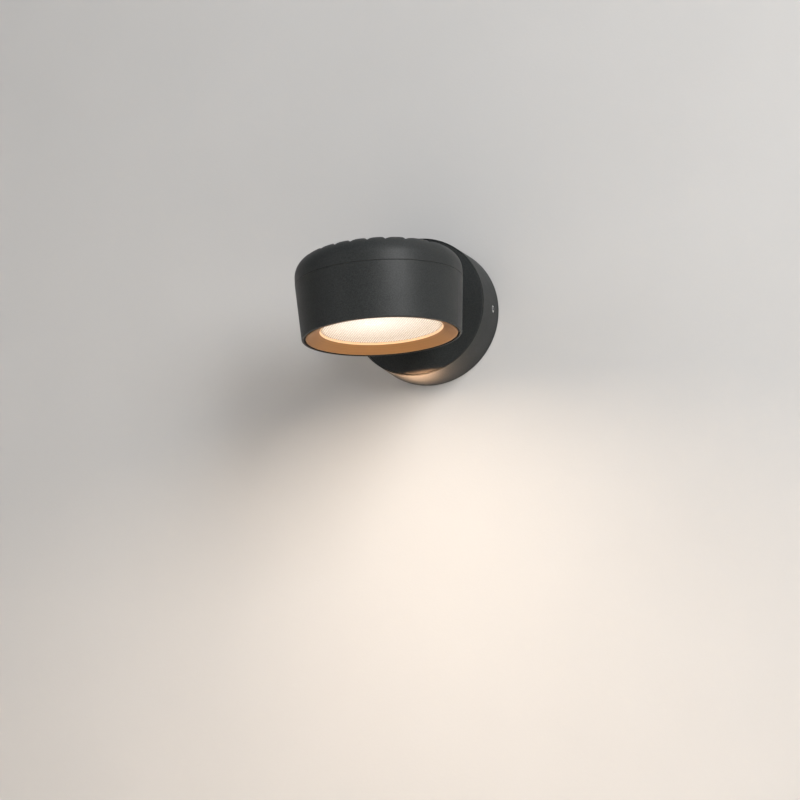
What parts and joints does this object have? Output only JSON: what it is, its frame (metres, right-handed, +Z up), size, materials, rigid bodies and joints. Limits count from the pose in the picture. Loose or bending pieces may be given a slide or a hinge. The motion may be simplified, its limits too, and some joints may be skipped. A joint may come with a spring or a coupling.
{
  "type": "pivoting spotlight wall light",
  "caption": "Round black wall spotlight: a drum-shaped head with a ribbed top and a copper-ringed lens, on a tilt hinge and swivel in front of a round wall base.",
  "frame": {"origin": "centre of the base's back face, on the wall, midway between the two wall screw slots", "axes": "+Y into the wall, +Z up, +X to the right for someone facing the wall; the lamp stands out along -Y"},
  "size_m": [0.12, 0.1725, 0.107],
  "materials": {
    "black_coat": "fine-textured matt black powder coat over die-cast aluminium",
    "copper_trim": "satin copper-toned anodised aluminium",
    "lens_prism": "microprismatic diffusing acrylic",
    "plated_steel": "bright zinc-plated steel",
    "brass_bright": "bright brass",
    "rubber_black": "soft black rubber",
    "gasket_foam": "dark closed-cell foam",
    "bearing_plastic": "natural acetal",
    "driver_plastic": "light grey moulded plastic",
    "block_plastic": "natural moulded plastic",
    "reflector_white": "white diffuse plastic",
    "holder_plastic": "white moulded plastic",
    "board_white": "white solder mask on aluminium board",
    "chip_phosphor": "yellow phosphor",
    "pad_grey": "grey thermal pad",
    "lead_sheath": "black lead sheath",
    "mains_sheath": "brown single-wire sheath"
  },
  "bodies": {
    "base": {"wall_bracket": "plated_steel", "base_ring": "black_coat", "base_front": "black_coat", "wall_gasket": "gasket_foam", "grub_screws": "plated_steel", "cable_grommet": "rubber_black", "led_driver": "driver_plastic", "driver_screws": "plated_steel", "terminal_block": "block_plastic", "terminal_screws": "brass_bright", "earth_tag": "brass_bright", "earth_screw": "plated_steel", "front_screws": "plated_steel", "mains_leads": "mains_sheath", "driver_lead": "lead_sheath", "swivel_bush": "bearing_plastic", "stop_pin": "plated_steel", "swivel_disc": "bearing_plastic", "flange_seal": "rubber_black"},
    "arm": {"swivel_arm": "black_coat", "spring_washer": "plated_steel", "stop_washer": "plated_steel", "swivel_nut": "plated_steel", "tilt_discs": "bearing_plastic", "arm_lead": "lead_sheath"},
    "head": {"tilt_fork": "black_coat", "pivot_tube": "plated_steel", "pivot_caps": "black_coat", "fork_screws": "plated_steel", "head_drum": "black_coat", "heat_sink": "black_coat", "seam_seal": "rubber_black", "head_screws": "plated_steel", "trim_ring": "copper_trim", "lens": "lens_prism", "lens_gasket": "rubber_black", "mixing_reflector": "reflector_white", "thermal_pad": "pad_grey", "led_board": "board_white", "led_chip": "chip_phosphor", "led_holder": "holder_plastic", "holder_screws": "plated_steel", "lead_gland": "rubber_black", "head_lead": "lead_sheath"}
  },
  "joints": [
    {"name": "swivel", "type": "hinge", "parent": "base", "child": "arm", "pos_m": [0, -0.033, 0], "axis": [0, 1, 0], "range_deg": [-165, 165]},
    {"name": "tilt", "type": "hinge", "parent": "arm", "child": "head", "pos_m": [0, -0.0454, 0.0078], "axis": [-1, 0, 0], "range_deg": [-20, 90]}
  ]
}
